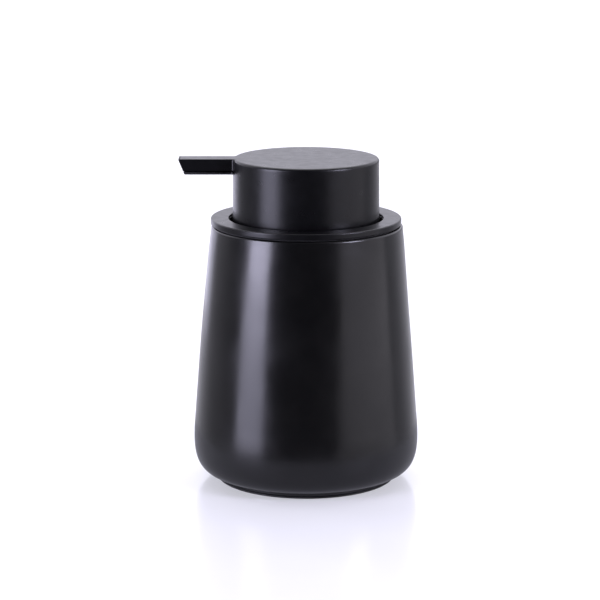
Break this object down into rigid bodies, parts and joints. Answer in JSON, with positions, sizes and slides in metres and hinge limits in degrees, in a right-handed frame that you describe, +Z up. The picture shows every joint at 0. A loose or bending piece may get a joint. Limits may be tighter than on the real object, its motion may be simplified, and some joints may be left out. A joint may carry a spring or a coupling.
{
  "type": "soap pump dispenser",
  "caption": "Countertop soap dispenser: tapered round bottle, lift-out lid ring and a wide press head with a thin straight spout over a spring pump and dip tube.",
  "frame": {"origin": "centre of the base pad's underside, on the bottle's axis", "axes": "+Z up along the bottle's axis, -X along the spout towards its outlet"},
  "size_m": [0.0881, 0.0834, 0.12],
  "materials": {
    "black_glaze": "satin",
    "black_coat": "satin",
    "black_plastic": "fine matt moulding texture",
    "black_silicone": "matt",
    "clear_silicone": "translucent matt",
    "natural_plastic": "translucent",
    "white_plastic": "smooth",
    "spring_steel": "drawn wire"
  },
  "bodies": {
    "bottle": {"bottle": "black_glaze", "base_pad": "black_silicone"},
    "lid": {"collar_ring": "black_coat", "lid_cup": "black_plastic", "mouth_seal": "black_silicone", "flange_gasket": "clear_silicone", "pump_housing": "natural_plastic", "stem_guide": "white_plastic", "closure_cap": "black_plastic", "dip_tube": "natural_plastic", "return_spring": "spring_steel"},
    "plunger": {"stem": "white_plastic", "piston_seat": "white_plastic"},
    "head": {"actuator": "black_plastic", "spout_channel": "black_plastic", "head_shell": "black_coat"},
    "piston": {"piston": "natural_plastic"},
    "inlet_ball": {"inlet_ball": "spring_steel"},
    "outlet_ball": {"outlet_ball": "spring_steel"}
  },
  "joints": [
    {"name": "lid_lift", "type": "slide", "parent": "bottle", "child": "lid", "axis": [0, 0, 1], "range_m": [0, 0.095]},
    {"name": "head_press", "type": "slide", "parent": "lid", "child": "plunger", "axis": [0, 0, 1], "range_m": [-0.011, 0], "stiffness_N_per_m": 700, "springref_m": 0.006, "deforming": ["return_spring"]},
    {"name": "head_swivel", "type": "hinge", "parent": "plunger", "child": "head", "pos_m": [0, 0, 0.1], "axis": [0, 0, 1], "continuous": true},
    {"name": "piston_float", "type": "slide", "parent": "plunger", "child": "piston", "axis": [0, 0, 1], "range_m": [0, 0.0012]},
    {"name": "inlet_ball_lift", "type": "slide", "parent": "lid", "child": "inlet_ball", "axis": [0, 0, 1], "range_m": [0, 0.002]},
    {"name": "outlet_ball_lift", "type": "slide", "parent": "plunger", "child": "outlet_ball", "axis": [0, 0, 1], "range_m": [0, 0.0012]}
  ]
}
